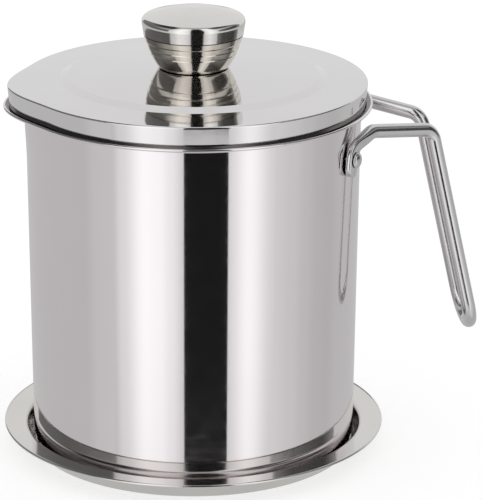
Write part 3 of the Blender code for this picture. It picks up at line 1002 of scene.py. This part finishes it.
def make_strainer_cup():
    path = rounded([
        (at(strainer_foot_radius - strainer_ledge, 0), 0),
        (at(strainer_foot_radius, 0), strainer_corner),
        (at(strainer_foot_radius + strainer_taper, strainer_depth), strainer_neck),
        (at(strainer_flange_radius, strainer_depth - rest_reach), strainer_lip_bend),
        (at(strainer_flange_radius, strainer_depth + strainer_lip_rise), 0),
    ])
    cup = turned(sheet_outline(path, strainer_sheet))
    return fit("strainer_basket", cup, "strainer", satin_with_painted_shade, ["strainer_cup"],
               strainer_low)


def make_clamp_ring():
    low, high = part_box("strainer_clamp_ring")
    inner = strainer_foot_radius - strainer_ledge
    middle = (low.z + high.z) / 2
    path = rounded([
        (at(inner, middle), 0),
        (at(inner, low.z), ring_edge_bend),
        (at(high.x, low.z), ring_edge_bend),
        (at(high.x, high.z), ring_edge_bend),
        (at(inner, high.z), ring_edge_bend),
        (at(inner, middle), 0),
    ], ring_edge_steps)
    ring = turned(held(path)[:-1])
    return fit("cloth_clamp_ring", ring, "strainer", satin_with_painted_shade,
               ["strainer_clamp_ring"])


make_strainer_cup()
make_clamp_ring()

# %% [markdown]
# ## Wire cloth
#
# Plain woven wire: each wire goes over one crossing and under the next. The solid model has a
# coarse net in its place. Here every wire is a thin four-sided tube that follows a wave, cut to the
# length of its chord across the round opening.

# %% Weave the wire cloth
cloth_pitch = 1.6 * mm
cloth_wire_radius = 0.17 * mm
cloth_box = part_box("strainer_mesh")
cloth_height = (cloth_box[0].z + cloth_box[1].z) / 2
cloth_radius = cloth_box[1].x


def woven_wire(bm, offset, half_length, along_x, phase):
    """One wire of the cloth, as a tube with its crimps."""
    steps = 2 * max(1, int(half_length / (cloth_pitch / 2)))
    rows = []
    for step in range(-steps // 2, steps // 2 + 1):
        reach = step * cloth_pitch / 2
        crimp = cloth_wire_radius * math.cos(math.pi * reach / cloth_pitch + phase)
        row = []
        for across, up in ((1, 0), (0, 1), (-1, 0), (0, -1)):
            side = offset + across * cloth_wire_radius
            height = cloth_height + crimp + up * cloth_wire_radius
            row.append(bm.verts.new((reach, side, height) if along_x else (side, reach, height)))
        rows.append(row)
    for row, following in zip(rows, rows[1:]):
        for index in range(4):
            after = (index + 1) % 4
            bm.faces.new((row[index], row[after], following[after], following[index]))
    bm.faces.new(rows[0])
    bm.faces.new(rows[-1])


def make_cloth():
    bm = bmesh.new()
    count = int(cloth_radius / cloth_pitch - 0.5)
    for wire in range(-count, count + 1):
        offset = wire * cloth_pitch
        half_length = math.sqrt(cloth_radius ** 2 - offset ** 2)
        phase = math.pi * (wire % 2)
        woven_wire(bm, offset, half_length, True, phase)
        woven_wire(bm, offset, half_length, False, phase + math.pi)
    bmesh.ops.recalc_face_normals(bm, faces=bm.faces)
    return fit("strainer_cloth", bm, "strainer", cloth_steel, ["strainer_mesh"])


make_cloth()

# %% [markdown]
# ## Lid
#
# The lid is pressed with a short skirt, a border, a round step and a slightly raised crown, with a
# flat pad in the middle for the knob. Its edge has the same spout bump as the pot, so that it only
# fits one way round. The skirt leans in a little towards its lower edge, which comes down over the
# strainer's turned-up edge and mirrors the rim's flange, painted near black as shade.

# %% Make the lid
lid_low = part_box("lid_shell")[0].z
lid_extra = 0.6 * mm
lid_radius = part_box("lid_shell")[1].x + lid_extra
lid_sheet = 0.6 * mm
lid_skirt = 7.3 * mm
lid_skirt_taper = 0.78 * mm
lid_skirt_reach = 1.1 * mm
lid_beak_share = 0.93
lid_corner = 1.3 * mm
lid_border = 15.9 * mm
lid_border_rise = 0.9 * mm
lid_border_rings = 12
lid_step_width = 3.5 * mm
lid_step_rise = 1.6 * mm
lid_step_bend = 1.5 * mm
lid_crown_rise = 2.6 * mm
lid_pad_radius = 14.5 * mm
screw_radius = 2 * mm
screw_hole_radius = screw_radius + 2 * gap
lid_pad_height = lid_skirt + lid_border_rise + lid_step_rise + lid_crown_rise


def lid_spout_share(radius, _):
    """The border is pulled out more and more from the step to the skirt."""
    border_inner = lid_radius - lid_border
    skirt_inner = lid_radius - lid_skirt_taper - lid_sheet
    return lid_beak_share * min(max((radius - border_inner) / (skirt_inner - border_inner), 0), 1)


def make_lid():
    step_outer = lid_radius - lid_border
    border_top = lid_skirt + lid_border_rise
    border = []
    for ring in range(1, lid_border_rings):
        share = ring / lid_border_rings
        place = at(step_outer + lid_border * share, border_top - lid_border_rise * share)
        border.append((place, 0))
    path = rounded([
        (at(screw_hole_radius, lid_pad_height), 0),
        (at(lid_pad_radius, lid_pad_height), 0),
        (at(step_outer - lid_step_width, border_top + lid_step_rise), lid_step_bend),
        (at(step_outer, border_top), lid_step_bend),
        *border,
        (at(lid_radius, lid_skirt), lid_corner),
        (at(lid_radius - lid_skirt_taper, -lid_skirt_reach), 0),
    ])
    shell = turned(sheet_outline(path, -lid_sheet))
    press_spout(shell, lid_spout_share)
    return fit("lid_cover", shell, "lid", lid_polish, ["lid_shell"], lid_low)


make_lid()

# %% [markdown]
# ## Knob
#
# The knob is two hollow turnings pressed together: a bowl with a band round its top, and a domed
# cap that closes it. The lathe tool leaves two fine grooves round the bowl below the band, and the
# cap has a soft edge.

# %% Make the knob
knob_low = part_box("knob_bowl")[0].z
knob_sheet = 0.7 * mm
knob_neck_radius = 13.6 * mm
knob_foot_bend = 0.6 * mm
knob_shoulder_radius = 18.6 * mm
knob_radius = 20.6 * mm
knob_bowl_height = 10.5 * mm
knob_bowl_bulge = 0.5 * mm
knob_band_height = 2.6 * mm
knob_band_step = 0.4 * mm
knob_cap_wall = 6.5 * mm
knob_cap_draft = 1 * mm
knob_cap_corner = 2.4 * mm
knob_crown_rise = 3.6 * mm
knob_crown_bend = 30 * mm
crown_width_share = 0.52
crown_height_share = 0.74
knob_segments = 192
bowl_steps = 24
groove_depth = 0.22 * mm
groove_half_width = 0.3 * mm
groove_clearance = 1.3
groove_shares = (0.56, 0.8)


def knob_arc(start, end, bulge, steps):
    """Points between two points of an outline, swelling outwards by a bulge, with grooves."""
    chord = end - start
    outwards = -left_of(chord)
    shares = [step / steps for step in range(1, steps)]
    half_share = groove_half_width / chord.length
    clear = groove_clearance * half_share
    for groove in groove_shares:
        shares = [share for share in shares if abs(share - groove) > clear]
        shares += [groove - half_share, groove, groove + half_share]
    points = []
    for share in sorted(shares):
        depth = groove_depth if share in groove_shares else 0
        points.append(start + chord * share + outwards * (bulge * 4 * share * (1 - share) - depth))
    return points


def make_knob_bowl():
    foot = at(knob_neck_radius, 0)
    foot_top = at(knob_neck_radius + knob_foot_bend, knob_foot_bend)
    shoulder = at(knob_shoulder_radius, knob_bowl_height)
    band = at(knob_shoulder_radius + knob_band_step, knob_bowl_height + knob_band_step)
    band_top = at(knob_radius - knob_cap_draft, knob_bowl_height + knob_band_height)
    outside = [at(screw_hole_radius, 0), foot, foot_top]
    outside += knob_arc(foot_top, shoulder, knob_bowl_bulge, bowl_steps)
    outside += [shoulder, band, band_top]
    bowl = turned(sheet_outline(outside, knob_sheet), knob_segments)
    return fit("knob_base", bowl, "lid", knob_bowl_painted_shade, ["knob_bowl"], knob_low)


def make_knob_cap():
    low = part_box("knob_cap")[0].z
    crown_middle = at(knob_radius * crown_width_share,
                      knob_cap_wall + knob_crown_rise * crown_height_share)
    path = rounded([
        (at(knob_radius - knob_cap_draft, 0), 0),
        (at(knob_radius, knob_cap_wall), knob_cap_corner),
        (crown_middle, knob_crown_bend),
        (at(0, knob_cap_wall + knob_crown_rise), 0),
    ])
    cap = turned(sheet_outline(path, knob_sheet), knob_segments)
    return fit("knob_top", cap, "lid", knob_turned, ["knob_cap"], low)


make_knob_bowl()
make_knob_cap()

# %% [markdown]
# ## Screw, washer and boss
#
# Under the lid a cross-recess screw and a washer pull the knob down, into a boss inside it. The
# screw and the washer are made finer here. The boss is closed in by the knob, so its solid from the
# frame stays and only gets a finish.

# %% Make the screw and the washer
screw_head_height = 2.4 * mm
screw_head_bend = 0.8 * mm
screw_slot_width = 0.9 * mm
screw_slot_length = 4.6 * mm
screw_slot_depth = 1.3 * mm


def make_washer():
    low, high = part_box("lid_washer")
    outline = [
        at(screw_hole_radius, low.z),
        at(high.x, low.z),
        at(high.x, high.z),
        at(screw_hole_radius, high.z),
    ]
    ring = turned(outline, small_segments)
    return fit("knob_washer", ring, "lid", fastener_steel, ["lid_washer"])


def cross_prism(depth):
    """The plus-shaped tool that a screwdriver's recess is cut with."""
    arm = screw_slot_length / 2
    side = screw_slot_width / 2
    outline = []
    for turn in range(4):
        swing = Matrix.Rotation(math.pi / 2 * turn, 3, "Z")
        for x, y in ((arm, -side), (arm, side), (side, side)):
            outline.append(swing @ Vector((x, y, 0)))
    bm = bmesh.new()
    face = bm.faces.new([bm.verts.new(point) for point in outline])
    swept = bmesh.ops.extrude_face_region(bm, geom=[face])
    raised = [item for item in swept["geom"] if isinstance(item, bmesh.types.BMVert)]
    bmesh.ops.translate(bm, verts=raised, vec=(0, 0, depth))
    bmesh.ops.recalc_face_normals(bm, faces=bm.faces)
    return bm


def carved(item, tool):
    """Cuts the tool's shape out of the item for good and removes the tool."""
    boolean = item.modifiers.new("recess", "BOOLEAN")
    boolean.object = tool
    boolean.solver = "EXACT"
    bpy.context.view_layer.update()
    evaluated = item.evaluated_get(bpy.context.evaluated_depsgraph_get())
    result = bpy.data.meshes.new_from_object(evaluated)
    item.modifiers.clear()
    item.data = result
    bpy.data.objects.remove(tool, do_unlink=True)


def make_screw():
    low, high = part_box("lid_screw")
    head_top = low.z + screw_head_height
    head_radius = high.x
    path = rounded([
        (at(0, low.z), 0),
        (at(head_radius, low.z), screw_head_bend),
        (at(head_radius, head_top), 0),
        (at(screw_radius, head_top), 0),
        (at(screw_radius, high.z), 0),
        (at(0, high.z), 0),
    ])
    screw = fit("knob_screw", turned(path, small_segments), "lid", fastener_steel,
                ["lid_screw"])
    recess = cross_prism(2 * screw_slot_depth)
    bmesh.ops.translate(recess, verts=recess.verts, vec=(0, 0, low.z - screw_slot_depth))
    carved(screw, link_object("screw_recess", recess))


make_washer()
make_screw()
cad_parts["knob_boss"].data.materials.clear()
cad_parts["knob_boss"].data.materials.append(fastener_steel)
